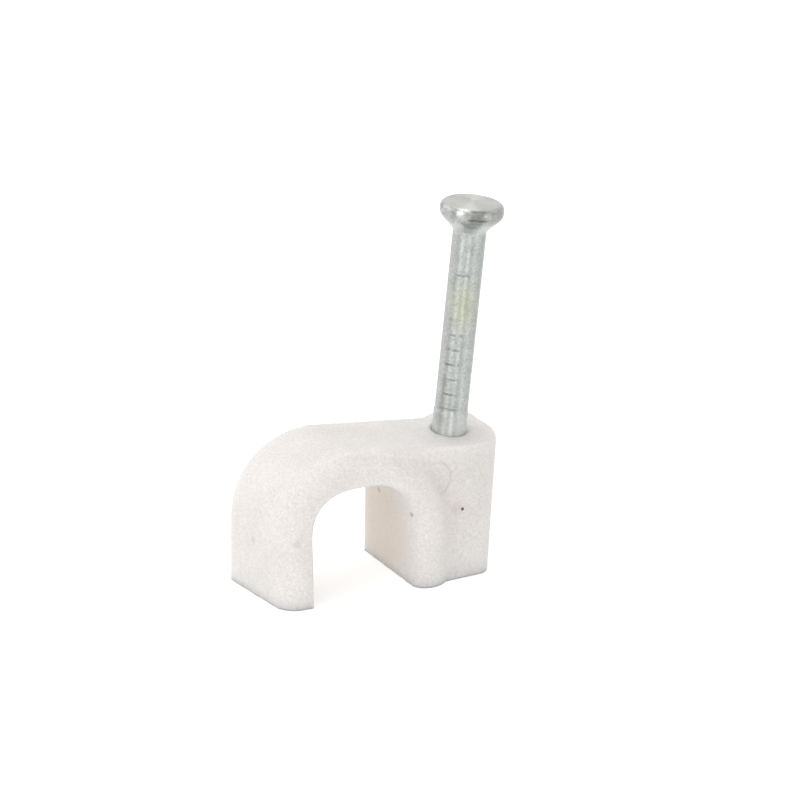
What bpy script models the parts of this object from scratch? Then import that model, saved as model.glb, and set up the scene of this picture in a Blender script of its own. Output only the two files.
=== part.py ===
"""Nail-in cable clip for one round cable.

The clip is one plastic moulding: a hook that bends over the cable and runs down into a solid
block. A steel nail stands upright in the block, inside a raised seat for its head. Lengths are in
metres and +Z is up. The wall that the clip is nailed to is the plane z = 0 and the cable runs
along Y. The origin lies on the wall face of the block, between the channel and the nail hole.
"""

import math

import bmesh
import bpy
from mathutils import Vector

# Cable channel: straight walls below the springing height, an arched ceiling above it
CHANNEL_HALF_WIDTH = 0.00347
CHANNEL_SPRING_HEIGHT = 0.00395
CHANNEL_RISE = 0.00306
CHANNEL_FULLNESS = 2.6
CHANNEL_FULLNESS_AT_COLUMN = 2.3

# Hook wall, measured outwards from the channel
LEG_WALL = 0.00211
CROWN_WALL = 0.00217
CROWN_WALL_AT_COLUMN = 0.0016
COLUMN_WALL = 0.0022
HOOK_FULLNESS = 2.26

# Stretch of the crown, across the channel's middle, over which its wall thins
CROWN_THINS_FROM = -0.0014
CROWN_THINS_TO = 0.0014

# Reach of the hook along the cable from the nail's plane, on the wall: its front comes forward
# from the free foot to the column. Both faces close in towards the top
HOOK_BACK = 0.0035
FOOT_FRONT = 0.00305
COLUMN_FRONT = 0.00405
HOOK_FRONT_DRAW = 0.00054
HOOK_BACK_DRAW = 0.0002

# The hook's walls spread from the middle of its depth towards the back
LEG_SPREAD = 0.00017
COLUMN_SPREAD = 0.0002

# Rounded edges of the hook's section
HOOK_FRONT_ROUND = 0.0012
HOOK_BACK_ROUND = 0.0003
HOOK_INNER_ROUND = 0.00025
COLUMN_NOSE_ROUND = 0.0008

# Block that the nail passes through, with a sloping top
BLOCK_REACH_OVER_CROWN = 0.00095
BLOCK_TOP_HEIGHT = 0.00906
BLOCK_TOP_SLOPE = math.radians(7.4)
BLOCK_TOP_FRONT = 0.0026
BLOCK_BASE_FRONT = 0.00365
BLOCK_TOP_BACK = 0.00342
BLOCK_BASE_BACK = 0.0036
BLOCK_CROWN_CORNER = 0.0005
BLOCK_BACK_CORNER = 0.0010
BLOCK_BASE_CORNER = 0.0010
BLOCK_TOP_CORNER = 0.0036
BLOCK_TOP_ROUND = 0.00035

# Raised seat for the nail's head, on top of the block
SEAT_RISE = 0.00046
SEAT_RADIUS = 0.0020
SEAT_RIM = 0.0002
SEAT_DRAFT = 0.0004
SEAT_EDGE_ROUND = 0.00011

# Block end, measured from the nail's axis at the top and at the base
END_WALL_AT_TOP = 0.00241
END_WALL_AT_BASE = 0.0007

# Nail and its hole
NAIL_RADIUS = 0.00102
NAIL_LENGTH = 0.0222
NAIL_TIP_DEPTH = 0.0075
NAIL_POINT_LENGTH = 0.0022
NAIL_POINT_FLAT = 0.00012
HEAD_RADIUS = 0.00195
HEAD_RIM_HEIGHT = 0.00065
HEAD_RIM_ROUND = 0.00016
HEAD_CONE_HEIGHT = 0.00085
NAIL_OFFSET = 0.00773
NAIL_LEAN_TO_END = math.radians(4.9)
NAIL_LEAN_TO_FRONT = math.radians(2.3)
NAIL_CLEARANCE = 0.00006

# Distance of the origin from the middle of the cable channel
ORIGIN_FROM_CHANNEL = 0.0047

# Fineness of the curved surfaces
ARCH_STEPS = 36
LEG_STEPS = 4
ROUND_STEPS = 5
BLOCK_CORNER_STEPS = 10
TURNED_STEPS = 48
SHARP_EDGE_ANGLE = math.radians(35)

# Stock that is cut away again below the wall plane
BASE_STOCK = 0.0010


def new_collection(name):
    collection = bpy.data.collections.new(name)
    bpy.context.scene.collection.children.link(collection)
    return collection


def new_material(name, colour, roughness, metallic):
    material = bpy.data.materials.new(name)
    material.use_nodes = True
    shader = material.node_tree.nodes["Principled BSDF"]
    shader.inputs["Base Color"].default_value = (*colour, 1.0)
    shader.inputs["Roughness"].default_value = roughness
    shader.inputs["Metallic"].default_value = metallic
    return material


def loft(name, rings, collection):
    """Closed solid of flat triangles through rings that have the same number of points."""
    mesh = bmesh.new()
    loops = [[mesh.verts.new(point) for point in ring] for ring in rings]
    for lower, upper in zip(loops, loops[1:]):
        for index in range(len(lower)):
            following = (index + 1) % len(lower)
            mesh.faces.new((lower[index], lower[following], upper[following], upper[index]))
    mesh.faces.new(loops[0])
    mesh.faces.new(loops[-1])
    bmesh.ops.triangulate(mesh, faces=mesh.faces)
    bmesh.ops.recalc_face_normals(mesh, faces=mesh.faces)
    data = bpy.data.meshes.new(name)
    mesh.to_mesh(data)
    mesh.free()
    solid = bpy.data.objects.new(name, data)
    collection.objects.link(solid)
    return solid


def extruded(name, outline, half_depth, collection):
    """Solid from a closed outline in the XZ plane, extruded both ways along Y."""
    curve = bpy.data.curves.new(name, "CURVE")
    curve.dimensions = "2D"
    curve.fill_mode = "BOTH"
    curve.extrude = half_depth
    spline = curve.splines.new("POLY")
    spline.points.add(len(outline) - 1)
    for point, (x, z) in zip(spline.points, outline):
        point.co = (x, z, 0.0, 1.0)
    spline.use_cyclic_u = True
    source = bpy.data.objects.new(name + "_outline", curve)
    data = bpy.data.meshes.new_from_object(source)
    bpy.data.objects.remove(source, do_unlink=True)
    data.name = name
    mesh = bmesh.new()
    mesh.from_mesh(data)
    bmesh.ops.remove_doubles(mesh, verts=mesh.verts, dist=0.000001)
    mesh.to_mesh(data)
    mesh.free()
    solid = bpy.data.objects.new(name, data)
    solid.rotation_euler = (math.radians(90), 0.0, 0.0)
    collection.objects.link(solid)
    return solid


def hide_cutter(cutter):
    cutter.hide_render = True
    cutter.display_type = "WIRE"


def add_boolean(solid, other, operation):
    modifier = solid.modifiers.new(other.name, "BOOLEAN")
    modifier.operation = operation
    modifier.object = other
    modifier.solver = "EXACT"


def arch_point(angle, half_width, rise, fullness):
    """Point of an arch over the springing line; a fullness of 2 is an ellipse."""
    power = 2.0 / fullness
    across = math.copysign(abs(math.cos(angle)) ** power, math.cos(angle)) * half_width
    return across, CHANNEL_SPRING_HEIGHT + math.sin(angle) ** power * rise


def crown_wall_at(across):
    """Wall over the cable: full on the free leg's side, thinner where the block's top covers it."""
    share = (across - CROWN_THINS_FROM) / (CROWN_THINS_TO - CROWN_THINS_FROM)
    share = min(max(share, 0.0), 1.0)
    eased = share * share * (3 - 2 * share)
    return CROWN_WALL + (CROWN_WALL_AT_COLUMN - CROWN_WALL) * eased


def hook_front_at(across, height):
    """Where the hook's front face lies along Y."""
    foot = -(CHANNEL_HALF_WIDTH + LEG_WALL)
    column = CHANNEL_HALF_WIDTH + COLUMN_WALL / 2
    share = min((across - foot) / (column - foot), 1.0)
    front = FOOT_FRONT + (COLUMN_FRONT - FOOT_FRONT) * share
    return HOOK_FRONT_DRAW * (height / BLOCK_TOP_HEIGHT) ** 2 - front


def hook_back_at(height):
    """Where the hook's back face lies along Y."""
    return HOOK_BACK - HOOK_BACK_DRAW * height / BLOCK_TOP_HEIGHT


def wall_spread(across, outwards):
    """Widening at the back: full on the leg's outer face and on the column's channel face."""
    if across < 0:
        reach = min(1.0, -across / (CHANNEL_HALF_WIDTH + LEG_WALL))
        return -LEG_SPREAD * reach ** 2 * outwards
    reach = min(1.0, across / CHANNEL_HALF_WIDTH)
    return COLUMN_SPREAD * reach ** 2 * (1 - outwards)


def channel_fullness(angle):
    """The channel's arch is a little fuller over the free leg than at the column."""
    return CHANNEL_FULLNESS if angle > math.pi / 2 else CHANNEL_FULLNESS_AT_COLUMN


def hook_stations():
    """Inner and outer wall points from the foot of the free leg, over the cable, to the column."""
    leg_out = CHANNEL_HALF_WIDTH + LEG_WALL
    column_out = CHANNEL_HALF_WIDTH + COLUMN_WALL
    leg_heights = [-BASE_STOCK + (CHANNEL_SPRING_HEIGHT + BASE_STOCK) * step / LEG_STEPS
                   for step in range(LEG_STEPS)]
    stations = []
    for height in leg_heights:
        stations.append(((-CHANNEL_HALF_WIDTH, height), (-leg_out, height), HOOK_INNER_ROUND))
    for step in range(ARCH_STEPS + 1):
        angle = math.pi * (1 - step / ARCH_STEPS)
        out = leg_out if angle > math.pi / 2 else column_out
        inner = arch_point(angle, CHANNEL_HALF_WIDTH, CHANNEL_RISE, channel_fullness(angle))
        crown_wall = crown_wall_at(arch_point(angle, out, 0.0, HOOK_FULLNESS)[0])
        outer = arch_point(angle, out, CHANNEL_RISE + crown_wall, HOOK_FULLNESS)
        turn = max(0.0, math.cos(angle))
        inner_round = HOOK_INNER_ROUND + (COLUMN_NOSE_ROUND - HOOK_INNER_ROUND) * turn
        stations.append((inner, outer, inner_round))
    for height in reversed(leg_heights):
        stations.append(((CHANNEL_HALF_WIDTH, height), (column_out, height), COLUMN_NOSE_ROUND))
    return stations


def corner_arc(centre, radius, start, end, steps):
    """Points of an arc as pairs, with the angles in quarter turns."""
    points = []
    for step in range(steps + 1):
        angle = math.radians(90) * (start + (end - start) * step / steps)
        points.append((centre[0] + radius * math.cos(angle), centre[1] + radius * math.sin(angle)))
    return points


def hook_section(inner, outer, inner_round):
    """Rounded rectangle across the hook's wall, from the channel outwards and along the cable."""
    wall = math.dist(inner, outer)
    corners = (
        (wall - HOOK_BACK_ROUND, True, HOOK_BACK_ROUND, 0),
        (HOOK_INNER_ROUND, True, HOOK_INNER_ROUND, 1),
        (inner_round, False, inner_round, 2),
        (wall - HOOK_FRONT_ROUND, False, HOOK_FRONT_ROUND, 3),
    )
    ring = []
    for place, at_back, radius, turn in corners:
        for out, along in corner_arc((place, 0.0), radius, turn, turn + 1, ROUND_STEPS):
            across = inner[0] + (outer[0] - inner[0]) * out / wall
            height = inner[1] + (outer[1] - inner[1]) * out / wall
            edge = hook_back_at(height) - radius if at_back else hook_front_at(across, height) + radius
            y = edge + along
            across += wall_spread(across, out / wall) * y / HOOK_BACK
            ring.append(Vector((across, y, height)))
    return ring


def make_hook(collection):
    rings = [hook_section(*station) for station in hook_stations()]
    return loft("clip_body", rings, collection)


def block_top_at(across):
    return BLOCK_TOP_HEIGHT - across * math.tan(BLOCK_TOP_SLOPE)


def nail_axis_at(height):
    """Where the nail's axis passes a height, as x and y."""
    below_mouth = height - block_top_at(NAIL_OFFSET)
    return (NAIL_OFFSET + below_mouth * math.tan(NAIL_LEAN_TO_END),
            -below_mouth * math.tan(NAIL_LEAN_TO_FRONT))


def block_ring(share, inset):
    """Outline of the block at a share of its height, drawn in by an inset."""
    top_end = NAIL_OFFSET + NAIL_RADIUS + END_WALL_AT_TOP
    base_end = nail_axis_at(0.0)[0] + NAIL_RADIUS + END_WALL_AT_BASE
    start = -BLOCK_REACH_OVER_CROWN + inset
    end = base_end + (top_end - base_end) * share - inset
    front = inset - BLOCK_BASE_FRONT - (BLOCK_TOP_FRONT - BLOCK_BASE_FRONT) * share
    back = BLOCK_BASE_BACK + (BLOCK_TOP_BACK - BLOCK_BASE_BACK) * share - inset
    end_round = BLOCK_BASE_CORNER + (BLOCK_TOP_CORNER - BLOCK_BASE_CORNER) * share - inset
    back_round = BLOCK_BACK_CORNER - inset
    start_round = BLOCK_CROWN_CORNER - inset
    corners = (
        (end - back_round, back - back_round, back_round),
        (start + start_round, back - start_round, start_round),
        (start + start_round, front + start_round, start_round),
        (end - end_round, front + end_round, end_round),
    )
    outline = []
    for turn, (x, y, radius) in enumerate(corners):
        outline += corner_arc((x, y), radius, turn, turn + 1, BLOCK_CORNER_STEPS)
    return outline


def make_block(collection):
    """Block with drafted faces, a sloping top and a rounded top edge."""
    rings = [[Vector((x, y, -BASE_STOCK)) for x, y in block_ring(0.0, 0.0)]]
    for step in range(LEG_STEPS):
        share = step / LEG_STEPS
        rings.append([Vector((x, y, share * (block_top_at(x) - BLOCK_TOP_ROUND)))
                      for x, y in block_ring(share, 0.0)])
    for step in range(ROUND_STEPS + 1):
        angle = math.radians(90) * step / ROUND_STEPS
        inset = BLOCK_TOP_ROUND * (1 - math.cos(angle))
        drop = BLOCK_TOP_ROUND * (1 - math.sin(angle))
        rings.append([Vector((x, y, block_top_at(x) - drop))
                      for x, y in block_ring(1.0, inset)])
    return loft("block_stock", rings, collection)


def make_channel_cutter(collection):
    """Arch through the middle of the hook's wall, which clears the block out of the channel."""
    half_width = CHANNEL_HALF_WIDTH + COLUMN_WALL / 2
    rise = CHANNEL_RISE + CROWN_WALL_AT_COLUMN / 2
    outline = [(-half_width, -2 * BASE_STOCK)]
    for step in range(ARCH_STEPS + 1):
        angle = math.pi * (1 - step / ARCH_STEPS)
        outline.append(arch_point(angle, half_width, rise, CHANNEL_FULLNESS))
    outline.append((half_width, -2 * BASE_STOCK))
    return extruded("channel_cutter", outline, 2 * COLUMN_FRONT, collection)


def make_base_cutter(collection):
    """Slab under the wall plane, which leaves both feet flush."""
    mesh = bmesh.new()
    bmesh.ops.create_cube(mesh, size=1.0)
    slab_width = 4 * (CHANNEL_HALF_WIDTH + NAIL_OFFSET)
    slab_depth = 4 * COLUMN_FRONT
    slab_height = 4 * BASE_STOCK
    bmesh.ops.scale(mesh, vec=(slab_width, slab_depth, slab_height), verts=mesh.verts)
    bmesh.ops.translate(mesh, vec=(0.0, 0.0, -slab_height / 2), verts=mesh.verts)
    data = bpy.data.meshes.new("base_cutter")
    mesh.to_mesh(data)
    mesh.free()
    slab = bpy.data.objects.new("base_cutter", data)
    collection.objects.link(slab)
    return slab


def turned(name, profile, collection):
    """Solid of revolution about its own Z from a profile that runs down the outer side."""
    mesh = bmesh.new()
    points = [mesh.verts.new((radius, 0.0, height)) for radius, height in profile]
    for upper, lower in zip(points, points[1:]):
        mesh.edges.new((upper, lower))
    data = bpy.data.meshes.new(name)
    mesh.to_mesh(data)
    mesh.free()
    solid = bpy.data.objects.new(name, data)
    collection.objects.link(solid)
    screw = solid.modifiers.new("turn", "SCREW")
    screw.axis = "Z"
    screw.steps = TURNED_STEPS
    screw.render_steps = TURNED_STEPS
    screw.use_merge_vertices = True
    screw.merge_threshold = 0.00001
    return solid


def place_on_nail_axis(solid):
    """Stand a solid on the nail's axis, with its own origin at the mouth of the hole."""
    solid.location = (NAIL_OFFSET, 0.0, block_top_at(NAIL_OFFSET))
    solid.rotation_euler = (NAIL_LEAN_TO_FRONT, NAIL_LEAN_TO_END, 0.0)


def make_hole_cutter(collection):
    """Through hole for the nail."""
    radius = NAIL_RADIUS + NAIL_CLEARANCE
    through = 2 * BLOCK_TOP_HEIGHT
    profile = [(0.0, SEAT_RISE), (radius, SEAT_RISE), (radius, -through), (0.0, -through)]
    cutter = turned("hole_cutter", profile, collection)
    place_on_nail_axis(cutter)
    return cutter


def place_on_seat(solid):
    """Stand a solid upright where the nail's axis passes the rim of its seat."""
    rim_height = block_top_at(NAIL_OFFSET) + SEAT_RISE
    solid.location = (*nail_axis_at(rim_height), rim_height)


def make_seat(collection):
    """Low drafted boss round the nail hole, with its foot sunk into the sloping block."""
    foot = -2 * SEAT_RISE
    edge = (SEAT_RADIUS - SEAT_EDGE_ROUND, -SEAT_EDGE_ROUND)
    profile = [(0.0, 0.0)]
    profile += corner_arc(edge, SEAT_EDGE_ROUND, 1, 0, ROUND_STEPS)
    profile += [(SEAT_RADIUS + SEAT_DRAFT, foot), (0.0, foot)]
    seat = turned("head_seat", profile, collection)
    place_on_seat(seat)
    return seat


def make_seat_cutter(collection):
    """Countersink inside the seat's rim, with the slope of the cone under the nail's head."""
    mouth = SEAT_RADIUS - SEAT_RIM
    slope = HEAD_CONE_HEIGHT / (HEAD_RADIUS - NAIL_RADIUS)
    profile = [
        (0.0, SEAT_RISE),
        (mouth + SEAT_RISE / slope, SEAT_RISE),
        (NAIL_RADIUS, -(mouth - NAIL_RADIUS) * slope),
        (0.0, -(mouth - NAIL_RADIUS) * slope),
    ]
    cutter = turned("seat_cutter", profile, collection)
    place_on_seat(cutter)
    return cutter


def make_clip_body(parts, cutters):
    body = make_hook(parts)
    block = make_block(cutters)
    channel = make_channel_cutter(cutters)
    base = make_base_cutter(cutters)
    seat = make_seat(cutters)
    countersink = make_seat_cutter(cutters)
    hole = make_hole_cutter(cutters)
    add_boolean(block, channel, "DIFFERENCE")
    add_boolean(body, block, "UNION")
    add_boolean(body, seat, "UNION")
    add_boolean(body, base, "DIFFERENCE")
    add_boolean(body, countersink, "DIFFERENCE")
    add_boolean(body, hole, "DIFFERENCE")
    for solid in cutters.objects:
        hide_cutter(solid)
    body.data.materials.append(new_material("white_polyethylene", (0.83, 0.81, 0.79), 0.42, 0.0))
    return body


def make_nail(parts):
    """Round wire nail with a flat countersunk head and a ground point."""
    tip = -NAIL_TIP_DEPTH
    head_top = tip + NAIL_LENGTH
    rim_bottom = head_top - HEAD_RIM_HEIGHT
    neck = rim_bottom - HEAD_CONE_HEIGHT
    profile = [(0.0, head_top)]
    rim_centre = (HEAD_RADIUS - HEAD_RIM_ROUND, head_top - HEAD_RIM_ROUND)
    profile += corner_arc(rim_centre, HEAD_RIM_ROUND, 1, 0, ROUND_STEPS)
    profile += [
        (HEAD_RADIUS, rim_bottom),
        (NAIL_RADIUS, neck),
        (NAIL_RADIUS, tip + NAIL_POINT_LENGTH),
        (NAIL_POINT_FLAT, tip),
        (0.0, tip),
    ]
    nail = turned("nail", profile, parts)
    place_on_nail_axis(nail)
    nail.data.materials.append(new_material("zinc_plated_steel", (0.56, 0.58, 0.58), 0.34, 1.0))
    return nail


def smooth(solid):
    """Smooth shading, with edges sharper than the limit kept crisp."""
    solid.data.shade_smooth()
    solid.data.set_sharp_from_angle(angle=SHARP_EDGE_ANGLE)


def move_origin(solids):
    """Carry everything on one empty, so that the model's origin lies on the block's wall face."""
    carrier = bpy.data.objects.new("clip_origin", None)
    carrier.location = (-ORIGIN_FROM_CHANNEL, 0.0, 0.0)
    bpy.context.scene.collection.objects.link(carrier)
    for solid in solids:
        solid.parent = carrier


def clear_scene():
    for item in list(bpy.data.objects):
        bpy.data.objects.remove(item, do_unlink=True)


def main():
    clear_scene()
    parts = new_collection("cable_clip")
    cutters = new_collection("cutters")
    body = make_clip_body(parts, cutters)
    nail = make_nail(parts)
    smooth(body)
    smooth(nail)
    move_origin([*parts.objects, *cutters.objects])


main()
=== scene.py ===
import math

import bmesh
import bpy
from mathutils import Euler, Matrix, Vector


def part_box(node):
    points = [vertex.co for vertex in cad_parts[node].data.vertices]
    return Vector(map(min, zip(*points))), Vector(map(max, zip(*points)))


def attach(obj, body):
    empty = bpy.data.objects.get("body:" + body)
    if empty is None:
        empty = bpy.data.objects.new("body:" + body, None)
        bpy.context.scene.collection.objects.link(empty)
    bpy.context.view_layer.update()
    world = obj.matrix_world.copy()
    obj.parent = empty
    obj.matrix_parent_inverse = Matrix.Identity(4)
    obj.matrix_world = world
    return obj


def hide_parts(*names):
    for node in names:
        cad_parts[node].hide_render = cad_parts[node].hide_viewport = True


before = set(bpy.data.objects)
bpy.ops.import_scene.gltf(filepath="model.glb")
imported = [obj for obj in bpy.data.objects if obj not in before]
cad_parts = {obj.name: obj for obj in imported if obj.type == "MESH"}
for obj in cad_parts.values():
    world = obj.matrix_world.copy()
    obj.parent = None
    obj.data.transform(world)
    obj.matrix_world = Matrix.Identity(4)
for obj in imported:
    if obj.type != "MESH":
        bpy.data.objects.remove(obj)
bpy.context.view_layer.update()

MM = 0.001

# Where the nail stands: the mouth of its hole, and how far it leans
NAIL_MOUTH = Vector((3.03, 0.0, 8.056)) * MM
NAIL_LEAN = Euler((math.radians(2.3), math.radians(4.9), 0.0))

# The nail along its own axis, measured from the mouth of the hole
NAIL_TIP = -7.5 * MM
POINT_LENGTH = 2.2 * MM
POINT_FLAT = 0.12 * MM
POINT_BULGE = 1.15
WIRE_RADIUS = 1.02 * MM
HEAD_TOP = 14.82 * MM
HEAD_CROWN = 0.03 * MM
HEAD_RADIUS = 1.95 * MM
HEAD_EDGE = 0.40 * MM
HEAD_RIM = 0.62 * MM
HEAD_ROLL = 0.05 * MM
HEAD_CONE = 1.17 * MM
CONE_BULGE = 1.5

# Just above the block the wire is thicker: it was upset when the nail was first driven in
SWELL = 0.05 * MM
SWELL_HEIGHT = 0.50 * MM
SWELL_LENGTH = 2.30 * MM
SWELL_FADE = 0.14 * MM

# Marks that the gripping dies left across two sides of the wire, counted from the lowest
FIRST_GRIP_MARK = 1.84 * MM
GRIP_MARK_PITCH = 0.95 * MM
GRIP_MARKS = 10
GRIP_MARK_DEPTH = 0.012 * MM
GRIP_MARK_HALF_WIDTH = 0.07 * MM
GRIP_MARK_STEEPNESS = 1.5
GRIP_MARK_CUTOFF = 1.7 * GRIP_MARK_HALF_WIDTH
GRIP_MARK_MARGIN = 2.2 * GRIP_MARK_HALF_WIDTH
GRIP_MARK_SIDE = math.radians(-136.0)
GRIP_MARK_REACH = math.radians(34.0)
GRIP_MARK_STAIN = (0.02 * MM, 0.09 * MM)
WEAK_GRIP_MARK = 7

# Fineness of the nail's mesh
WIRE_SIDES = 128
WIRE_ROW = 0.125 * MM
FACE_STEPS = 14
EDGE_STEPS = 8
CONE_STEPS = 18
POINT_STEPS = 8
GRIP_MARK_STEPS = 5
GRIP_MARK_ROW = GRIP_MARK_HALF_WIDTH / 3

# The moulding's skin: cell of the fine mesh, and rounds of easing that soften its edges, the
# fillet between the hook and the block's front, and the ragged edge of the base
SKIN_CELL = 0.085 * MM
SKIN_EASING = 9
FILLET_EASING = 220
BASE_EASING = 4
EASING_FACTOR = 0.5

# The base stays flat and sharp: points under the first height are put on the ground, and the
# easing of the edges comes in between the two others
BASE_FLAT = 0.06 * MM
SHARP_BASE = (0.10 * MM, 0.35 * MM)

# Outer line of the hook's arch and column, which the fillet follows in front of the block
ARCH_CENTRE = Vector((-4.7, 0.0, 3.95)) * MM
ARCH_HALF_WIDTH = 5.67 * MM
ARCH_RISE = 4.75 * MM
ARCH_FULLNESS = 2.26
FILLET_START = -2.4 * MM
FILLET_BACK = -1.2 * MM
FILLET_CORE = 0.30 * MM
FILLET_REACH = 0.75 * MM
FILLET_EXTRA = 0.85 * MM
FILLET_WIDENS = (3.0 * MM, 6.0 * MM)

# The block's top, and the soft lip of plastic that the nail pushed up round itself. Distances
# are from the nail's axis, and the lip is lower on the side that LIP_FRONT points to, which is
# the one that faces the photograph's camera.
TOP_HEIGHT = 8.45 * MM
TOP_FALL = 0.1299
MOUTH_RADIUS = 1.045 * MM
MOUTH_DIP = 0.06 * MM
MOUTH_EDGE = (1.05 * MM, 1.45 * MM)
LIP_RADIUS = 1.24 * MM
LIP_REACH = 2.35 * MM
LIP_HEIGHT = 0.28 * MM
LIP_LEAN = 0.16 * MM
LIP_FRONT = Vector((-0.52, -0.855))
LIP_HOLLOW = 1.4
SEAT_REACH = 2.7 * MM
SEAT_DEPTH = 1.2 * MM
SEAT_TILT = 0.15

# The top rises a little at its far end and at its back edge: how much, and where in x and y
END_LIFT = 0.20 * MM
END_LIFT_X = (3.4 * MM, 5.4 * MM)
END_LIFT_Y = (-1.8 * MM, 0.6 * MM)
BACK_LIFT = 0.30 * MM
BACK_LIFT_X = (2.9 * MM, 3.9 * MM)
BACK_LIFT_Y = (0.9 * MM, 2.8 * MM)
LIFTED_HEIGHTS = (5.5 * MM, 7.6 * MM)

# Specks and smudges in the moulding, and a painted warm shade: centre in millimetres, radius,
# softness, colour, strength
MOULDING_MARKS_AND_PAINTED_SHADE = (
    # Dark speck on the block's front, and the pink smudge beside it
    ((2.18, -3.08, 4.27), 0.07, 0.07, "#4A4442", 1.00),
    ((1.70, -3.08, 4.42), 0.05, 0.60, "#D9C6C6", 0.45),
    # Specks on the inner wall and on the column's front
    ((-1.25, 1.10, 4.81), 0.10, 0.14, "#8C7F78", 0.80),
    ((-1.43, -3.12, 4.63), 0.08, 0.13, "#A79494", 0.75),
    # Smudges on the free leg's front and on its outer side
    ((-9.26, -2.99, 4.22), 0.05, 0.28, "#CBBDB8", 0.40),
    ((-10.31, 0.58, 3.51), 0.05, 0.30, "#CBBFBA", 0.40),
    # Painted shade: the inner wall warmer in tone, as the shaded plastic in the channel looks
    ((-1.25, 0.80, 2.60), 1.60, 2.60, "#E9D8C4", 0.52),
)

# Ring that the mould's ejector pin left between the column and the block's front: its centre,
# its radius, the half width and softness of its line, and where in x it comes into sight
EJECTOR_CENTRE = Vector((0.58, -2.82, 6.48)) * MM
EJECTOR_RADIUS = 0.94 * MM
EJECTOR_LINE = (0.02 * MM, 0.11 * MM)
EJECTOR_SHOWS = (0.3 * MM, 1.0 * MM)

# Sizes of the patterns in the finishes: a cell of MM / 6.8 comes 6.8 times to the millimetre
COOLING_PATCH = MM / 0.42
COOLING_FLECK = MM / 6.8
MOULD_PIT = MM / 3.3
PLATING_CLOUD = MM / 1.4
PLATING_SPECKLE = MM / 7.0
STREAK_WIDTH = MM / 14.0
STREAK_LENGTH = MM / 0.35
FOLD_LENGTH = MM / 0.9
FOLD_HEIGHT = MM / 3.8
LAP_RAGGEDNESS = MM / 1.5
GRIP_MARK_RAGGEDNESS = MM / 1.3
DRAWING_WEAVE = MM / 0.5
PAPER_FIBRE = MM / 3.0

# Zones of the nail's head, as heights: where each comes in, and where it goes out again
LAPPED_ZONE = ((HEAD_TOP - 1.35 * MM, HEAD_TOP - 1.10 * MM),
               (HEAD_TOP - 0.14 * MM, HEAD_TOP - 0.05 * MM))
# Where the head is rougher and carries painted shade
DULL_PAINTED_SHADE_ZONE = ((HEAD_TOP - 1.25 * MM, HEAD_TOP - 0.85 * MM),
             (HEAD_TOP - 0.07 * MM, HEAD_TOP - 0.035 * MM))
# Height of the band of painted light round the cone
PAINTED_LIGHT_CONE_HEIGHT = HEAD_TOP - 1.45 * MM

# Laps round the rim: distance between them, drop of the first, sway, and the line's half width
# and softness
LAP_PITCH = 0.56 * MM
LAP_DROP = 0.22 * MM
LAP_SWAY = 0.25 * MM
LAP_LINE = (0.02 * MM, 0.10 * MM)

# Sides of the nail's head, as shares of a turn: 0.5 faces the photograph's camera
TURN_TO_CAMERA = math.radians(121.0)
LAPPED_SIDE = ((0.475, 0.50), (0.56, 0.60))
# The rougher side, darkened by painted shade
DULL_PAINTED_SHADE_SIDE = ((0.465, 0.505), (0.54, 0.59))

# Painted glints on the rim: their distance from the axis in millimetres, then for each its
# place round the rim in degrees, its drop below the head's top, radius and softness
PAINTED_GLINT_RADIUS = 1.86
PAINTED_GLINTS = ((-146, 0.30, 0.08, 0.22), (-96, 0.36, 0.02, 0.15))

# Chromate tint, an oval on one side of the wire's upper half: how much it is stretched along the
# wire, its centre once that is undone, its radius and its softness
TINT_STRETCH = 1 / 0.62
TINT_CENTRE = Vector((-0.47, -0.90, 5.20)) * MM
TINT_RADIUS = 0.10 * MM
TINT_SOFTNESS = 1.35 * MM

# Bands down the wire, brighter or duller: faint lines that the drawing die left, and painted
# streaks of reflected light. Place round the wire in degrees, from the side away from the
# photograph's camera, and the grey that multiplies the tone
DIE_LINES_AND_PAINTED_STREAKS = (
    (0, "#F4F4F4"), (25, "#FFFFFF"), (48, "#E8E8E8"), (75, "#F8F8F8"), (98, "#E6E6E6"),
    (118, "#E9E9E9"), (142, "#E4E4E4"), (158, "#FFFFFF"), (172, "#ECECEC"), (190, "#E2E2E2"),
    (208, "#FFFFFF"), (222, "#EEEEEE"), (240, "#E0E0E0"), (262, "#F2F2F2"), (290, "#E4E4E4"),
    (318, "#FDFDFD"), (342, "#E8E8E8"), (360, "#F4F4F4"),
)

# The studio: a white tent, four softboxes round the clip, and a paper floor
TENT_LIGHT = 0.65
SOFTBOX_TARGET = (0.0, 0.0, 0.008)
SOFTBOXES = (
    # name, place, size, power in watts
    ("key_softbox", (-0.22, -0.09, 0.15), (0.10, 0.16), 0.09),
    ("top_softbox", (0.02, 0.03, 0.30), (0.16, 0.16), 0.17),
    ("front_softbox", (-0.11, -0.26, 0.07), (0.08, 0.12), 0.10),
    ("back_softbox", (-0.22, 0.24, 0.16), (0.32, 0.32), 0.20),
)
FLOOR_HALF_WIDTH = 1.6
FLOOR_CELLS = 24
FLOOR_DROP = 0.01 * MM
FLOOR_LIFT = 0.36

# The photograph's camera: its place and direction in metres, and its lens in millimetres
CAMERA_PLACE = Vector((-0.1186, -0.2015, 0.0957))
CAMERA_AIM = Vector((0.4755, 0.8107, -0.3415))
CAMERA_LENS = 184.95
CAMERA_SENSOR = 36.0
CAMERA_NEAR = 0.01

# Settings that many of the materials' nodes share
SMOOTH = {"interpolation_type": "SMOOTHSTEP"}
COLOUR = {"data_type": "RGBA"}


def linear(hex_colour):
    """sRGB hex value as linear RGBA."""
    parts = [int(hex_colour[place:place + 2], 16) / 255 for place in (1, 3, 5)]
    return tuple(c / 12.92 if c <= 0.04045 else ((c + 0.055) / 1.055) ** 2.4 for c in parts) + (1.0,)


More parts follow.
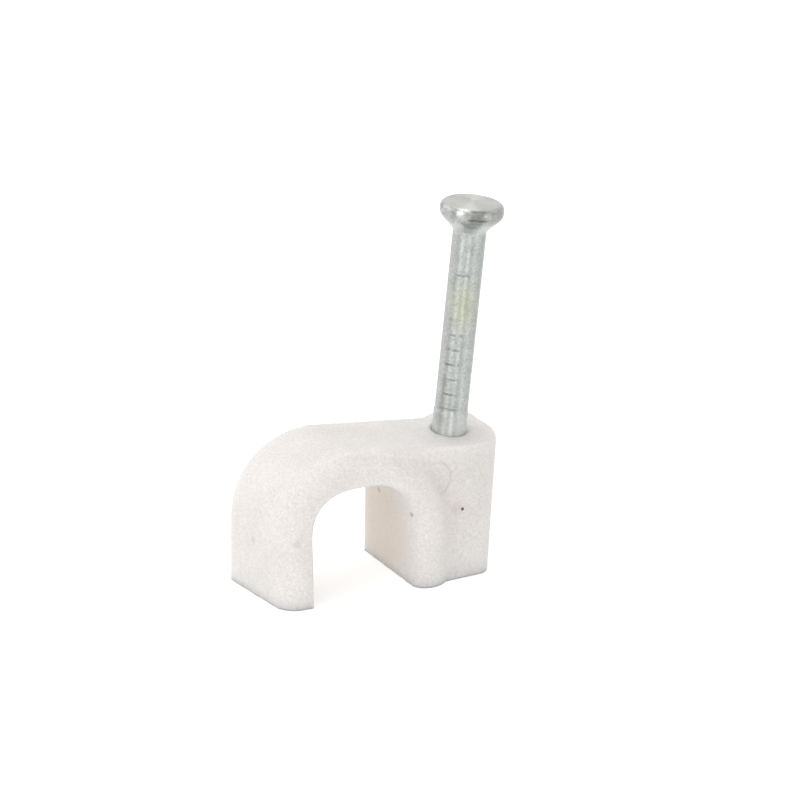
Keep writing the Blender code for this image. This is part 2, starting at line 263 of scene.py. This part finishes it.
def add_node(tree, kind, settings=None, **sockets):
    """Adds a node. A socket takes a value, or a node whose first output is linked to it."""
    node = tree.nodes.new(kind)
    for name, value in (settings or {}).items():
        setattr(node, name, value)
    for name, value in sockets.items():
        key = int(name[1:]) if name[0] == "_" else name.replace("_", " ")
        if isinstance(value, bpy.types.Node):
            value = value.outputs[0]
        if isinstance(value, bpy.types.NodeSocket):
            tree.links.new(value, node.inputs[key])
        else:
            node.inputs[key].default_value = value
    return node


def new_material(name):
    """A material with its tree, its shader and the object's own coordinates."""
    material = bpy.data.materials.new(name)
    material.use_nodes = True
    tree = material.node_tree
    tree.nodes.clear()
    shader = add_node(tree, "ShaderNodeBsdfPrincipled")
    add_node(tree, "ShaderNodeOutputMaterial", Surface=shader)
    place = add_node(tree, "ShaderNodeTexCoord").outputs["Object"]
    return material, tree, shader, place


def where_all(tree, first, *others):
    """The places that all the masks share, as their product."""
    shared = first
    for mask in others:
        shared = add_node(tree, "ShaderNodeMath", {"operation": "MULTIPLY"}, _0=shared, _1=mask)
    return shared


def spot(tree, place, centre, radius, softness):
    """A round mark about a point: 1 inside the radius, falling to 0 over the softness."""
    away = add_node(tree, "ShaderNodeVectorMath", {"operation": "DISTANCE"}, _0=place, _1=centre)
    return add_node(tree, "ShaderNodeMapRange", SMOOTH, Value=away.outputs["Value"],
                    From_Min=radius, From_Max=radius + softness, To_Min=1.0, To_Max=0.0)


def band(tree, value, middle, half_width, softness):
    """1 where the value is within half_width of the middle, falling to 0 over the softness."""
    away = add_node(tree, "ShaderNodeMath", {"operation": "SUBTRACT"}, _0=value, _1=middle)
    away = add_node(tree, "ShaderNodeMath", {"operation": "ABSOLUTE"}, _0=away)
    return add_node(tree, "ShaderNodeMapRange", SMOOTH, Value=away, From_Min=half_width,
                    From_Max=half_width + softness, To_Min=1.0, To_Max=0.0)


def stripes(tree, value, pitch, half_width, softness):
    """A band at 0 of the value, and again at every pitch."""
    wrapped = add_node(tree, "ShaderNodeMath", {"operation": "WRAP"}, _0=value, _1=pitch / 2,
                       _2=-pitch / 2)
    return band(tree, wrapped, 0.0, half_width, softness)


def between(tree, value, comes_in, goes_out, left_over=0.0):
    """1 between two spans of the value, 0 before the first and left_over past the second."""
    rise = add_node(tree, "ShaderNodeMapRange", SMOOTH, Value=value, From_Min=comes_in[0],
                    From_Max=comes_in[1])
    fall = add_node(tree, "ShaderNodeMapRange", SMOOTH, Value=value, From_Min=goes_out[0],
                    From_Max=goes_out[1], To_Min=1.0, To_Max=left_over)
    return where_all(tree, rise, fall)


def lay_over(tree, tone, mask, strength, hex_colour):
    """Lays a colour over the tone where the mask is 1, at the given strength."""
    amount = where_all(tree, mask, strength)
    return add_node(tree, "ShaderNodeMix", COLOUR, Factor=amount, _6=tone,
                    _7=linear(hex_colour)).outputs[2]


def ease(value, start, end):
    """0 at the start, 1 at the end, and a smooth rise between them."""
    share = min(max((value - start) / (end - start), 0.0), 1.0)
    return share * share * (3 - 2 * share)


def collect(name, data):
    """Puts a mesh, a lamp or a camera into the scene as an object of its own."""
    piece = bpy.data.objects.new(name, data)
    bpy.context.scene.collection.objects.link(piece)
    return piece


def mesh_from(name, draft):
    """Turns a finished bmesh into a mesh."""
    mesh = bpy.data.meshes.new(name)
    draft.to_mesh(mesh)
    draft.free()
    return mesh


def apply_modifiers(piece):
    """Replaces a piece's mesh with the one that its modifiers make."""
    bpy.context.view_layer.update()
    graph = bpy.context.evaluated_depsgraph_get()
    mesh = bpy.data.meshes.new_from_object(piece.evaluated_get(graph))
    piece.modifiers.clear()
    piece.data = mesh
    mesh.name = piece.name


# The moulding's shape

def settle_top(mesh):
    """Closes the seat up to the nail with a soft lip, and lifts the top's far end and back."""
    for vertex, normal in zip(mesh.vertices, mesh.vertex_normals):
        x, y, z = vertex.co
        top = TOP_HEIGHT - TOP_FALL * x
        aside = Vector((x - NAIL_MOUTH.x, y - NAIL_MOUTH.y))
        away = aside.length
        on_seat = MOUTH_RADIUS < away < SEAT_REACH and z > top - SEAT_DEPTH
        if on_seat and normal.vector.z > SEAT_TILT:
            facing = aside.dot(LIP_FRONT) / away
            lip = LIP_HEIGHT - LIP_LEAN * facing
            outside = ease(away, LIP_REACH, LIP_RADIUS) ** LIP_HOLLOW
            inside = ease(away, MOUTH_RADIUS, LIP_RADIUS)
            z = top + lip * outside - MOUTH_DIP * (1 - inside)
        lift = max(END_LIFT * ease(x, *END_LIFT_X) * ease(y, *END_LIFT_Y),
                   BACK_LIFT * ease(x, *BACK_LIFT_X) * ease(y, *BACK_LIFT_Y))
        vertex.co.z = z + lift * ease(z, *LIFTED_HEIGHTS)


def fillet_weight(x, y, z):
    """How strongly the fillet between the hook and the block is eased at a place."""
    if x < FILLET_START or y > FILLET_BACK:
        return 0.0
    along = max((x - ARCH_CENTRE.x) / ARCH_HALF_WIDTH, 0.0)
    up = max((z - ARCH_CENTRE.z) / ARCH_RISE, 0.0)
    reach = (along ** ARCH_FULLNESS + up ** ARCH_FULLNESS) ** (1 / ARCH_FULLNESS)
    aside = abs(reach - 1.0) * ARCH_HALF_WIDTH
    edge = FILLET_REACH + FILLET_EXTRA * ease(z, *FILLET_WIDENS)
    return ease(aside, edge, FILLET_CORE) * ease(z, *SHARP_BASE)


def weigh_skin(piece):
    """Gives every point of the skin its share of the three easings, and flattens the base."""
    groups = [piece.vertex_groups.new(name=name) for name in ("edges", "fillet", "base")]
    for vertex in piece.data.vertices:
        x, y, z = vertex.co
        away = math.hypot(x - NAIL_MOUTH.x, y - NAIL_MOUTH.y)
        risen = ease(z, *SHARP_BASE)
        weights = (risen * ease(away, *MOUTH_EDGE), fillet_weight(x, y, z), 1.0 - risen)
        for group, weight in zip(groups, weights):
            group.add([vertex.index], weight, "REPLACE")
        if z < BASE_FLAT:
            vertex.co.z = 0.0


def make_moulding(solid):
    """The clip's solid with the soft skin of a moulding: every edge but the base's is eased."""
    piece = collect("clip_moulding", solid.data.copy())
    remesh = piece.modifiers.new("skin", "REMESH")
    remesh.mode = "VOXEL"
    remesh.voxel_size = SKIN_CELL
    apply_modifiers(piece)
    settle_top(piece.data)
    weigh_skin(piece)
    for group, rounds in (("edges", SKIN_EASING), ("fillet", FILLET_EASING), ("base", BASE_EASING)):
        easing = piece.modifiers.new(group, "SMOOTH")
        easing.factor = EASING_FACTOR
        easing.iterations = rounds
        easing.use_z = group != "base"
        easing.vertex_group = group
    apply_modifiers(piece)
    low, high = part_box("clip_body")
    for vertex in piece.data.vertices:
        vertex.co = [min(max(c, least), most) for c, least, most in zip(vertex.co, low, high)]
    piece.data.shade_smooth()
    piece.data.materials.clear()
    return piece


# The moulding's finish

def ejector_ring(tree, place):
    """Faint ring of the mould's ejector pin: 1 on the part of it that shows."""
    away = add_node(tree, "ShaderNodeVectorMath", {"operation": "DISTANCE"}, _0=place,
                    _1=EJECTOR_CENTRE)
    ring = band(tree, away.outputs["Value"], EJECTOR_RADIUS, *EJECTOR_LINE)
    aside = add_node(tree, "ShaderNodeSeparateXYZ", Vector=place)
    shows = add_node(tree, "ShaderNodeMapRange", Value=aside.outputs["X"],
                     From_Min=EJECTOR_SHOWS[0], From_Max=EJECTOR_SHOWS[1])
    return where_all(tree, ring, shows)


def moulded_polyethylene():
    """Injection-moulded white polyethylene.

    To the eye: a soft, waxy white with no sharp gloss. Light goes a millimetre or two deep, so
    that shaded sides stay pale. The tone is faintly mottled, and the skin has the fine grain of a
    spark-eroded mould, with a few specks caught in it.
    """
    material, tree, shader, place = new_material("white_polyethylene_moulded")
    # Mottling from uneven cooling: patches of about 2.4 mm, with flecks of about 0.15 mm in them
    patches = add_node(tree, "ShaderNodeTexNoise", Vector=place, Scale=1 / COOLING_PATCH,
                       Detail=3.0, Roughness=0.55)
    flecks = add_node(tree, "ShaderNodeTexNoise", Vector=place, Scale=1 / COOLING_FLECK,
                      Detail=3.0, Roughness=0.75)
    mottling = add_node(tree, "ShaderNodeMath", {"operation": "MULTIPLY_ADD"}, _0=patches, _1=0.25,
                        _2=flecks)
    mottling = add_node(tree, "ShaderNodeMapRange", Value=mottling, From_Min=0.42, From_Max=0.82)
    tone = lay_over(tree, linear("#DCD7D4"), mottling, 1.0, "#F3F0ED")
    # Specks and smudges, and the painted warm shade on the inner wall
    for centre, radius, softness, colour, strength in MOULDING_MARKS_AND_PAINTED_SHADE:
        mark = spot(tree, place, Vector(centre) * MM, radius * MM, softness * MM)
        tone = lay_over(tree, tone, mark, strength, colour)
    ring = ejector_ring(tree, place)
    tone = lay_over(tree, tone, ring, 0.35, "#C9C1BC")
    # Grain of the mould's eroded face: pits of about 0.15 mm, drawn twice as coarse to show
    grain = add_node(tree, "ShaderNodeTexNoise", Vector=place, Scale=1 / MOULD_PIT, Detail=2.0)
    grain = add_node(tree, "ShaderNodeMath", {"operation": "MULTIPLY_ADD"}, _0=ring, _1=-1.0,
                     _2=grain)
    skin = add_node(tree, "ShaderNodeBump", Height=grain, Strength=0.22, Distance=0.02 * MM)
    sheen = add_node(tree, "ShaderNodeMapRange", Value=patches, To_Min=0.40, To_Max=0.50)
    tree.links.new(tone, shader.inputs["Base Color"])
    tree.links.new(sheen.outputs[0], shader.inputs["Roughness"])
    tree.links.new(skin.outputs[0], shader.inputs["Normal"])
    shader.inputs["IOR"].default_value = 1.51
    shader.inputs["Subsurface Weight"].default_value = 0.85
    shader.inputs["Subsurface Radius"].default_value = (1.0, 0.92, 0.84)
    shader.inputs["Subsurface Scale"].default_value = 1.7 * MM
    return material


# The nail's shape

def head_rows():
    """Radius and height from the middle of the head's face down to the neck."""
    flat = HEAD_RADIUS - HEAD_EDGE
    rim_bottom = HEAD_TOP - HEAD_RIM
    rows = []
    # Face, very slightly crowned by the hammering die, and its rounded edge
    for step in range(FACE_STEPS):
        share = step / FACE_STEPS
        rows.append((flat * share, HEAD_TOP - HEAD_CROWN * share ** 3))
    for step in range(EDGE_STEPS + 1):
        angle = math.radians(90) * step / EDGE_STEPS
        rows.append((flat + HEAD_EDGE * math.sin(angle),
                     HEAD_TOP - HEAD_CROWN - HEAD_EDGE * (1 - math.cos(angle))))
    # Rim, rolled over into the cone, then a soft neck where the cone meets the wire
    rows.append((HEAD_RADIUS, rim_bottom + HEAD_ROLL))
    for step in range(CONE_STEPS + 1):
        share = step / CONE_STEPS
        narrowed = (ease(share, 0.0, 1.0) + share ** CONE_BULGE) / 2
        rows.append((HEAD_RADIUS + (WIRE_RADIUS - HEAD_RADIUS) * narrowed,
                     rim_bottom - HEAD_CONE * share))
    return rows


def wire_rows():
    """Radius and height down the wire, with rows close together at each grip mark."""
    neck = HEAD_TOP - HEAD_RIM - HEAD_CONE
    shoulder = NAIL_TIP + POINT_LENGTH
    marks = [FIRST_GRIP_MARK + GRIP_MARK_PITCH * mark for mark in range(GRIP_MARKS)]
    plain = [neck - WIRE_ROW * step for step in range(1, int((neck - shoulder) / WIRE_ROW) + 1)]
    heights = {height for height in plain
               if all(abs(height - mark) > GRIP_MARK_MARGIN for mark in marks)}
    for mark in marks:
        heights |= {mark + GRIP_MARK_ROW * step
                    for step in range(-GRIP_MARK_STEPS, GRIP_MARK_STEPS + 1)}
    return [(WIRE_RADIUS, height) for height in sorted(heights, reverse=True)]


def point_rows():
    """Radius and height down the ground point."""
    rows = []
    for step in range(POINT_STEPS + 1):
        share = step / POINT_STEPS
        rows.append((WIRE_RADIUS + (POINT_FLAT - WIRE_RADIUS) * share ** POINT_BULGE,
                     NAIL_TIP + POINT_LENGTH * (1 - share)))
    rows.append((0.0, NAIL_TIP))
    return rows


def swell(height):
    """Extra radius at a height, where the wire was upset."""
    return SWELL * ease(abs(height - SWELL_HEIGHT), SWELL_LENGTH / 2, SWELL_LENGTH / 2 - SWELL_FADE)


def grip_mark_depth(angle, height):
    """How deep a grip mark is cut at a place on the wire, on either of its two marked sides."""
    along = math.remainder(height - FIRST_GRIP_MARK, GRIP_MARK_PITCH)
    last = FIRST_GRIP_MARK + GRIP_MARK_PITCH * (GRIP_MARKS - 1)
    if not FIRST_GRIP_MARK - GRIP_MARK_HALF_WIDTH * 2 < height < last + GRIP_MARK_HALF_WIDTH * 2:
        return 0.0
    across = abs(math.remainder(angle - GRIP_MARK_SIDE, math.pi))
    if abs(along) > GRIP_MARK_CUTOFF or across > GRIP_MARK_REACH:
        return 0.0
    groove = math.exp(-(along / GRIP_MARK_HALF_WIDTH * GRIP_MARK_STEEPNESS) ** 2)
    return GRIP_MARK_DEPTH * groove * math.cos(across / GRIP_MARK_REACH * math.pi / 2) ** 0.5


def ring_at(draft, radius, height):
    """One ring of the nail's points, or a single point where the radius is 0."""
    if radius <= 0.0:
        return [draft.verts.new((0.0, 0.0, height))]
    ring = []
    for side in range(WIRE_SIDES):
        angle = 2 * math.pi * side / WIRE_SIDES
        reach = radius + swell(height) - grip_mark_depth(angle, height)
        ring.append(draft.verts.new((reach * math.cos(angle), reach * math.sin(angle), height)))
    return ring


def make_nail():
    """The nail: rings of points down its profile, joined by faces and set into the hole."""
    draft = bmesh.new()
    rings = [ring_at(draft, *row) for row in head_rows() + wire_rows() + point_rows()]
    for upper, lower in zip(rings, rings[1:]):
        for side in range(WIRE_SIDES):
            following = (side + 1) % WIRE_SIDES
            corners = [upper[side % len(upper)], lower[side % len(lower)],
                       lower[following % len(lower)], upper[following % len(upper)]]
            corners = list(dict.fromkeys(corners))
            if len(corners) > 2:
                draft.faces.new(corners)
    bmesh.ops.recalc_face_normals(draft, faces=draft.faces)
    piece = collect("steel_nail", mesh_from("steel_nail", draft))
    piece.data.shade_smooth()
    piece.matrix_world = Matrix.Translation(NAIL_MOUTH) @ NAIL_LEAN.to_matrix().to_4x4()
    return piece


# The nail's finish

def grip_mark_stain(tree, place, height):
    """Dark residue of the plating bath in the grip marks: 1 in a mark and 0 beside it."""
    axes = add_node(tree, "ShaderNodeSeparateXYZ", Vector=place)
    turn = add_node(tree, "ShaderNodeMath", {"operation": "ARCTAN2"}, _0=axes.outputs["Y"],
                    _1=axes.outputs["X"])
    turn = add_node(tree, "ShaderNodeMath", {"operation": "SUBTRACT"}, _0=turn, _1=GRIP_MARK_SIDE)
    side = stripes(tree, turn, math.pi, GRIP_MARK_REACH * 0.55, GRIP_MARK_REACH * 0.45)
    along = add_node(tree, "ShaderNodeMath", {"operation": "SUBTRACT"}, _0=height,
                     _1=FIRST_GRIP_MARK)
    groove = stripes(tree, along, GRIP_MARK_PITCH, *GRIP_MARK_STAIN)
    # The marks stop above the top one and below the first one
    length = GRIP_MARK_PITCH * (GRIP_MARKS - 1)
    within = add_node(tree, "ShaderNodeMath", {"operation": "COMPARE"}, _0=along, _1=length / 2,
                      _2=length / 2 + GRIP_MARK_PITCH / 3)
    # Three marks near the top were hardly pressed, and every mark is ragged
    weak = band(tree, along, GRIP_MARK_PITCH * WEAK_GRIP_MARK, GRIP_MARK_PITCH * 1.2,
                GRIP_MARK_PITCH * 0.5)
    pressed = add_node(tree, "ShaderNodeMapRange", Value=weak, To_Min=1.0, To_Max=0.3)
    ragged = add_node(tree, "ShaderNodeTexNoise", Vector=place, Scale=1 / GRIP_MARK_RAGGEDNESS,
                      Detail=3.0, Roughness=0.7)
    ragged = add_node(tree, "ShaderNodeMapRange", Value=ragged, From_Min=0.36, From_Max=0.60)
    return where_all(tree, side, groove, within, pressed, ragged)


def wire_turn(tree, place):
    """Turn about the wire as 0 to 1, with 0.5 on the side of the photograph's camera."""
    turned = add_node(tree, "ShaderNodeMapping", Vector=place, Rotation=(0.0, 0.0, TURN_TO_CAMERA))
    axes = add_node(tree, "ShaderNodeSeparateXYZ", Vector=turned)
    turn = add_node(tree, "ShaderNodeMath", {"operation": "ARCTAN2"}, _0=axes.outputs["Y"],
                    _1=axes.outputs["X"])
    turn = add_node(tree, "ShaderNodeMath", {"operation": "MULTIPLY_ADD"}, _0=turn,
                    _1=0.5 / math.pi, _2=0.5)
    # The bands weave along the wire by up to 0.015 of a turn to either side
    weave = add_node(tree, "ShaderNodeTexNoise", Vector=place, Scale=1 / DRAWING_WEAVE, Detail=2.0)
    weave = add_node(tree, "ShaderNodeMapRange", Value=weave, To_Min=-0.015, To_Max=0.015)
    return add_node(tree, "ShaderNodeMath", {"operation": "ADD"}, _0=turn, _1=weave)


def die_lines_and_painted_streaks(tree, turn):
    """Bands down the wire, as a grey to multiply: faint die lines and painted streaks of reflected
    light.
    """
    ramp = add_node(tree, "ShaderNodeValToRGB", Fac=turn)
    ramp.color_ramp.interpolation = "EASE"
    for degrees, grey in DIE_LINES_AND_PAINTED_STREAKS[1:-1]:
        ramp.color_ramp.elements.new(degrees / 360).color = linear(grey)
    ramp.color_ramp.elements[0].color = linear(DIE_LINES_AND_PAINTED_STREAKS[0][1])
    ramp.color_ramp.elements[-1].color = linear(DIE_LINES_AND_PAINTED_STREAKS[-1][1])
    return ramp


def chromate_tint(tree, place):
    """Where the passivating bath left its tint on the wire."""
    shortened = add_node(tree, "ShaderNodeMapping", Vector=place, Scale=(1.0, 1.0, 1 / TINT_STRETCH))
    return spot(tree, shortened, TINT_CENTRE, TINT_RADIUS, TINT_SOFTNESS)


def heading_folds(tree, place):
    """Folds that run round the head's rim and cone, where cold heading crumpled the skin."""
    flattened = add_node(tree, "ShaderNodeMapping", Vector=place,
                         Scale=(1 / FOLD_LENGTH, 1 / FOLD_LENGTH, 1 / FOLD_HEIGHT))
    folds = add_node(tree, "ShaderNodeTexNoise", Vector=flattened, Scale=1.0, Detail=3.0,
                     Roughness=0.65)
    return add_node(tree, "ShaderNodeMapRange", SMOOTH, Value=folds, From_Min=0.50, From_Max=0.62,
                    To_Min=0.06, To_Max=0.45)


def forging_laps(tree, place, height, turn):
    """Fine laps round one side of the head's rim, where the steel folded over itself."""
    ragged = add_node(tree, "ShaderNodeTexNoise", Vector=place, Scale=1 / LAP_RAGGEDNESS,
                      Detail=3.0, Roughness=0.6)
    down = add_node(tree, "ShaderNodeMath", {"operation": "SUBTRACT"}, _0=HEAD_TOP - LAP_DROP,
                    _1=height)
    down = add_node(tree, "ShaderNodeMath", {"operation": "MULTIPLY_ADD"}, _0=ragged,
                    _1=LAP_SWAY, _2=down)
    lines = stripes(tree, down, LAP_PITCH, *LAP_LINE)
    return where_all(tree, lines, between(tree, height, *LAPPED_ZONE),
                     between(tree, turn, *LAPPED_SIDE, left_over=0.15))


def painted_glints(tree, place):
    """Painted glints on the rim: bright spots that stand in for highlights."""
    painted_glint_mask = 0.0
    for degrees, drop, radius, softness in PAINTED_GLINTS:
        angle = math.radians(degrees)
        centre = Vector((PAINTED_GLINT_RADIUS * math.cos(angle), PAINTED_GLINT_RADIUS * math.sin(angle), -drop))
        bright = spot(tree, place, centre * MM + Vector((0.0, 0.0, HEAD_TOP)), radius * MM,
                      softness * MM)
        painted_glint_mask = add_node(tree, "ShaderNodeMath", {"operation": "MAXIMUM"}, _0=painted_glint_mask,
                            _1=bright)
    return painted_glint_mask


def zinc_plated_steel():
    """Drawn steel wire, cold headed, bright zinc plated.

    To the eye: a pale grey metal with highlights that run along the wire, some of them painted as
    bright streaks. The plating is finely speckled and a little cloudy, it has a faint yellow-green
    tint half way up, and the grip marks in it are dark. The head is rougher on the side that faces
    the camera, where painted shade darkens it. Painted light brightens the wire above the block and
    the head's cone, and two painted glints sit on the rim.
    """
    material, tree, shader, place = new_material("steel_zinc_plated")
    height = add_node(tree, "ShaderNodeSeparateXYZ", Vector=place).outputs["Z"]
    turn = wire_turn(tree, place)
    # Clouds in the plating of about 0.7 mm, and its speckle of about 0.15 mm
    clouds = add_node(tree, "ShaderNodeTexNoise", Vector=place, Scale=1 / PLATING_CLOUD,
                      Detail=4.0, Roughness=0.6)
    speckle = add_node(tree, "ShaderNodeTexNoise", Vector=place, Scale=1 / PLATING_SPECKLE,
                       Detail=2.0, Roughness=0.6)
    blotches = add_node(tree, "ShaderNodeMath", {"operation": "MULTIPLY_ADD"}, _0=clouds, _1=0.5,
                        _2=speckle)
    blotches = add_node(tree, "ShaderNodeMapRange", Value=blotches, From_Min=0.5, From_Max=1.0)
    tone = lay_over(tree, linear("#A6AAA7"), blotches, 1.0, "#D0D3D0")
    # Drawing streaks, about 0.07 mm wide and 3 mm long
    stretched = add_node(tree, "ShaderNodeMapping", Vector=place,
                         Scale=(1 / STREAK_WIDTH, 1 / STREAK_WIDTH, 1 / STREAK_LENGTH))
    streaks = add_node(tree, "ShaderNodeTexNoise", Vector=stretched, Scale=1.0, Detail=2.0)
    # The bands, die lines and painted streaks, go down the wire and the rim, and stop at the head's
    # face
    bands_below_face = add_node(tree, "ShaderNodeMapRange", Value=height, From_Min=HEAD_TOP - 0.3 * MM,
                     From_Max=HEAD_TOP - 0.1 * MM, To_Min=1.0, To_Max=0.0)
    tone = add_node(tree, "ShaderNodeMix", {**COLOUR, "blend_type": "MULTIPLY"}, Factor=bands_below_face,
                    _6=tone, _7=die_lines_and_painted_streaks(tree, turn)).outputs[2]
    # Painted light on the wire just above the block, where the die formed the head, and the head's
    # face
    painted_light_near_block = add_node(tree, "ShaderNodeMapRange", SMOOTH, Value=height, From_Min=0.2 * MM,
                      From_Max=2.0 * MM, To_Min=1.0, To_Max=0.0)
    headed = add_node(tree, "ShaderNodeMapRange", SMOOTH, Value=height,
                      From_Min=HEAD_TOP - 1.6 * MM, From_Max=HEAD_TOP - 1.1 * MM)
    face = add_node(tree, "ShaderNodeMapRange", SMOOTH, Value=height,
                    From_Min=HEAD_TOP - 0.16 * MM, From_Max=HEAD_TOP - 0.06 * MM)
    folds = where_all(tree, heading_folds(tree, place), headed)
    # One side of the head is rougher, and painted shade darkens it where it faces the camera. A band
    # of painted light brightens the cone, and two painted glints sit on the rim.
    dull_and_painted_shade = where_all(tree, between(tree, turn, *DULL_PAINTED_SHADE_SIDE, left_over=0.35),
                     between(tree, height, *DULL_PAINTED_SHADE_ZONE))
    painted_light_on_cone = band(tree, height, PAINTED_LIGHT_CONE_HEIGHT, 0.1 * MM, 0.5 * MM)
    painted_glint_mask = painted_glints(tree, place)
    layers = (
        # mask, strength, colour
        (chromate_tint(tree, place), 0.42, "#B8B896"),
        # painted light on the wire just above the block
        (painted_light_near_block, 0.40, "#ECEFED"),
        (folds, 1.00, "#868884"),
        # painted shade on the side that faces the camera
        (dull_and_painted_shade, 0.42, "#7E817D"),
        (forging_laps(tree, place, height, turn), 0.60, "#4B4D4A"),
        # painted light round the cone
        (painted_light_on_cone, 0.28, "#E4E7E4"),
        # painted glints on the rim
        (painted_glint_mask, 0.60, "#FCFBF8"),
        (face, 0.60, "#CBCBC6"),
        (grip_mark_stain(tree, place, height), 0.70, "#5B5F5D"),
    )
    for mask, strength, colour in layers:
        tone = lay_over(tree, tone, mask, strength, colour)
    gloss = add_node(tree, "ShaderNodeMapRange", Value=streaks, To_Min=0.32, To_Max=0.46)
    for mask, change in ((headed, -0.12), (dull_and_painted_shade, 0.38), (face, 0.14), (painted_glint_mask, -0.10)):
        gloss = add_node(tree, "ShaderNodeMath", {"operation": "MULTIPLY_ADD"}, _0=mask,
                         _1=change, _2=gloss)
    relief = streaks
    for pattern, rise in ((clouds, 0.8), (speckle, 0.5), (folds, -2.0)):
        relief = add_node(tree, "ShaderNodeMath", {"operation": "MULTIPLY_ADD"}, _0=pattern,
                          _1=rise, _2=relief)
    skin = add_node(tree, "ShaderNodeBump", Height=relief, Strength=0.25, Distance=0.012 * MM)
    along = add_node(tree, "ShaderNodeTangent", {"direction_type": "RADIAL", "axis": "Z"})
    tree.links.new(tone, shader.inputs["Base Color"])
    tree.links.new(gloss.outputs[0], shader.inputs["Roughness"])
    tree.links.new(skin.outputs[0], shader.inputs["Normal"])
    tree.links.new(along.outputs[0], shader.inputs["Tangent"])
    shader.inputs["Metallic"].default_value = 1.0
    shader.inputs["Anisotropic"].default_value = 0.75
    shader.inputs["Anisotropic Rotation"].default_value = 0.25
    return material


# The studio

def seen_directly(tree):
    """1 for what the camera sees, directly, mirrored or through glass, and 0 for plain light."""
    path = add_node(tree, "ShaderNodeLightPath")
    seen = path.outputs["Is Camera Ray"]
    for ray in ("Is Glossy Ray", "Is Transmission Ray"):
        seen = add_node(tree, "ShaderNodeMath", {"operation": "MAXIMUM"}, _0=seen,
                        _1=path.outputs[ray])
    return seen


def matt_white_paper():
    """White paper sheet: plain and matt, so that the object's soft shadow lies on it."""
    material, tree, shader, place = new_material("white_paper_matt")
    fibres = add_node(tree, "ShaderNodeTexNoise", Vector=place, Scale=1 / PAPER_FIBRE, Detail=3.0)
    tone = lay_over(tree, linear("#F7F7F7"), fibres, 1.0, "#FBFBFB")
    lift = where_all(tree, seen_directly(tree), FLOOR_LIFT)
    tree.links.new(tone, shader.inputs["Base Color"])
    tree.links.new(lift.outputs[0], shader.inputs["Emission Strength"])
    shader.inputs["Emission Color"].default_value = linear("#FFFFFF")
    shader.inputs["Roughness"].default_value = 0.9
    shader.inputs["Specular IOR Level"].default_value = 0.2
    return material


def make_floor():
    """A wide sheet of paper, a hair below the clip's feet."""
    draft = bmesh.new()
    bmesh.ops.create_grid(draft, x_segments=FLOOR_CELLS, y_segments=FLOOR_CELLS,
                          size=FLOOR_HALF_WIDTH)
    bmesh.ops.translate(draft, vec=(0.0, 0.0, -FLOOR_DROP), verts=draft.verts)
    floor = collect("paper_floor", mesh_from("paper_floor", draft))
    floor.data.materials.append(matt_white_paper())


def aim(thing, place, target):
    """Puts a lamp or the camera at a place and points it at a target."""
    thing.location = place
    thing.rotation_euler = (Vector(target) - Vector(place)).to_track_quat("-Z", "Y").to_euler()


def make_softbox(name, place, size, power):
    """A rectangular softbox that faces the clip."""
    lamp = bpy.data.lights.new(name, "AREA")
    lamp.shape = "RECTANGLE"
    lamp.size, lamp.size_y = size
    lamp.energy = power
    aim(collect(name, lamp), place, SOFTBOX_TARGET)


def make_tent():
    """White world: gentle as light, and plain white where it is seen."""
    world = bpy.data.worlds.new("white_tent")
    bpy.context.scene.world = world
    world.use_nodes = True
    tree = world.node_tree
    tree.nodes.clear()
    strength = add_node(tree, "ShaderNodeMapRange", Value=seen_directly(tree), To_Min=TENT_LIGHT,
                        To_Max=1.0)
    light = add_node(tree, "ShaderNodeBackground", Color=linear("#FFFFFF"), Strength=strength)
    add_node(tree, "ShaderNodeOutputWorld", Surface=light)


def make_camera():
    """The camera at the photograph's place and angle."""
    lens = bpy.data.cameras.new("photo_camera")
    lens.lens = CAMERA_LENS
    lens.sensor_width = CAMERA_SENSOR
    lens.clip_start = CAMERA_NEAR
    camera = collect("photo_camera", lens)
    aim(camera, CAMERA_PLACE, CAMERA_PLACE + CAMERA_AIM)
    bpy.context.scene.camera = camera


def main():
    moulding = make_moulding(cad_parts["clip_body"])
    moulding.data.materials.append(moulded_polyethylene())
    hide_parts("clip_body")
    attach(moulding, "root")

    nail = make_nail()
    nail.data.materials.append(zinc_plated_steel())
    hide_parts("nail")
    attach(nail, "root")

    make_floor()
    make_tent()
    for softbox in SOFTBOXES:
        make_softbox(*softbox)
    make_camera()
    bpy.context.scene.view_settings.view_transform = "Standard"


main()
